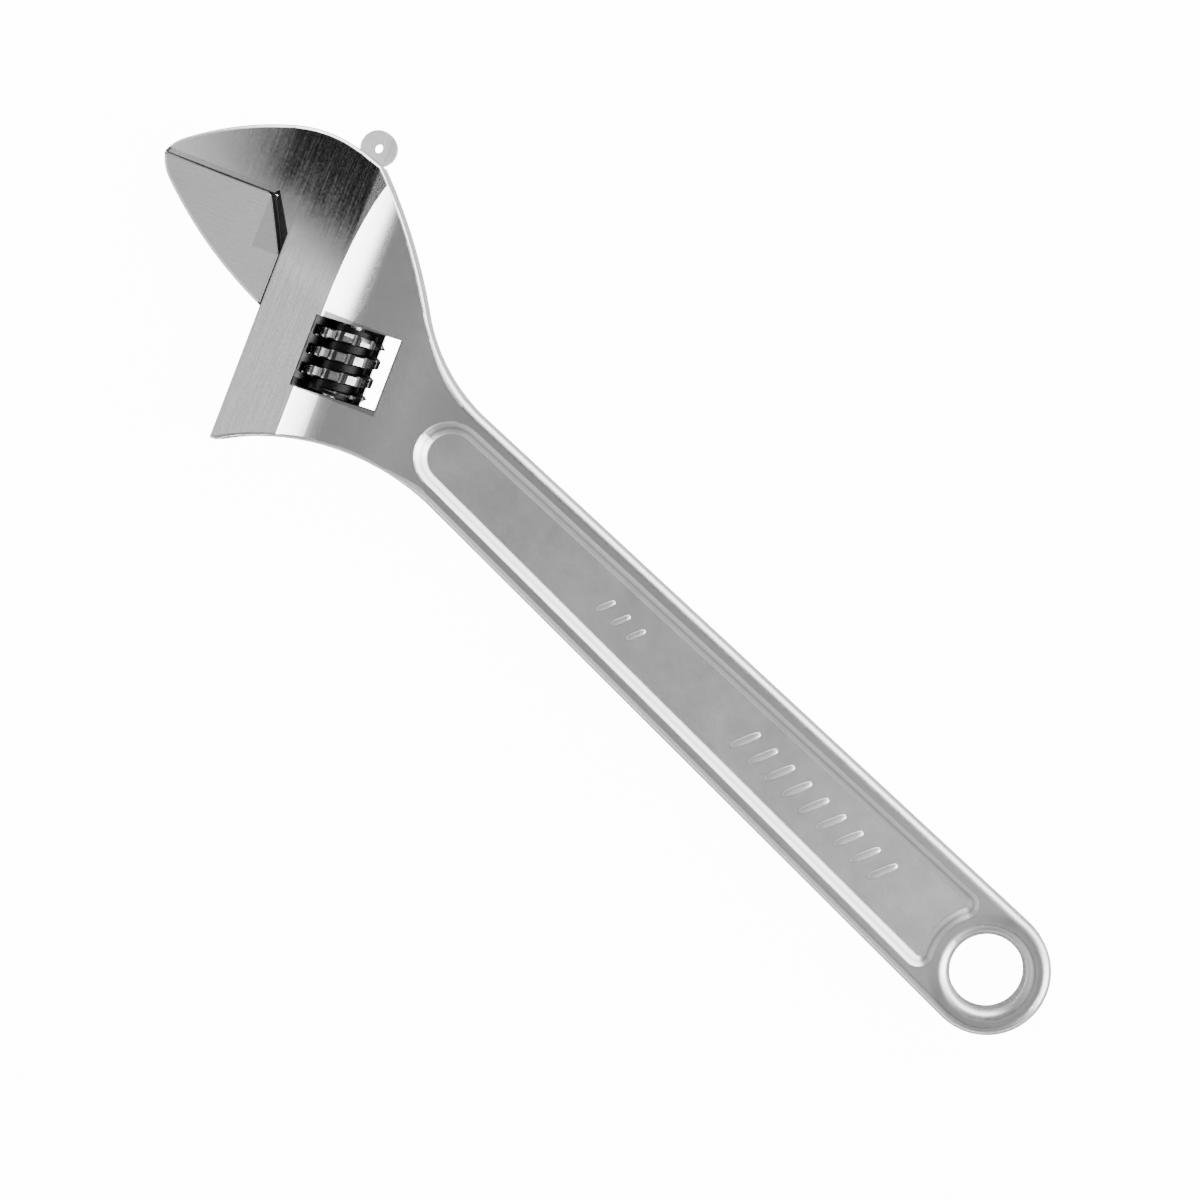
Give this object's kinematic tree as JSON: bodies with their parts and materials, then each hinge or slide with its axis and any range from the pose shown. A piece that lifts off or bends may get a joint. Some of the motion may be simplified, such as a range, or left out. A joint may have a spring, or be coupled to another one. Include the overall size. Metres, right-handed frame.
{
  "type": "adjustable wrench",
  "caption": "Adjustable wrench with a sunk-panel handle, hanging hole, fixed jaw and a sliding jaw moved by a knurled worm.",
  "frame": {"origin": "centre of the hanging hole, on the middle plane of the wrench", "axes": "+X up the handle towards the head, +Y the side the movable jaw opens to, +Z out of the front face; the wrench lies flat"},
  "size_m": [0.3045, 0.085, 0.0186],
  "materials": {
    "plated_forging": "satin nickel-chrome plate over a forged surface, faces of the head polished",
    "plated_jaw": "satin nickel-chrome plate",
    "worm_steel": "machined steel, knurled, grey in the grooves",
    "pin_steel": "turned steel",
    "spring_steel": "oiled spring wire"
  },
  "bodies": {
    "handle_and_fixed_jaw": {"wrench_body": "plated_forging", "worm_pin": "pin_steel", "worm_spring": "spring_steel"},
    "sliding_jaw": {"movable_jaw": "plated_jaw"},
    "worm": {"adjusting_worm": "worm_steel"}
  },
  "joints": [
    {"name": "jaw_slide", "type": "slide", "parent": "handle_and_fixed_jaw", "child": "sliding_jaw", "axis": [-0.3827, 0.9239, 0], "range_m": [0, 0.034]},
    {"name": "worm_spin", "type": "hinge", "parent": "handle_and_fixed_jaw", "child": "worm", "pos_m": [0.22075, 0.00171, 0], "axis": [-0.3827, 0.9239, 0], "range_deg": [-2450, 0]}
  ],
  "couplings": [
    {"joint": "worm_spin", "follows": "jaw_slide", "rad_per_m": -1256.6}
  ]
}
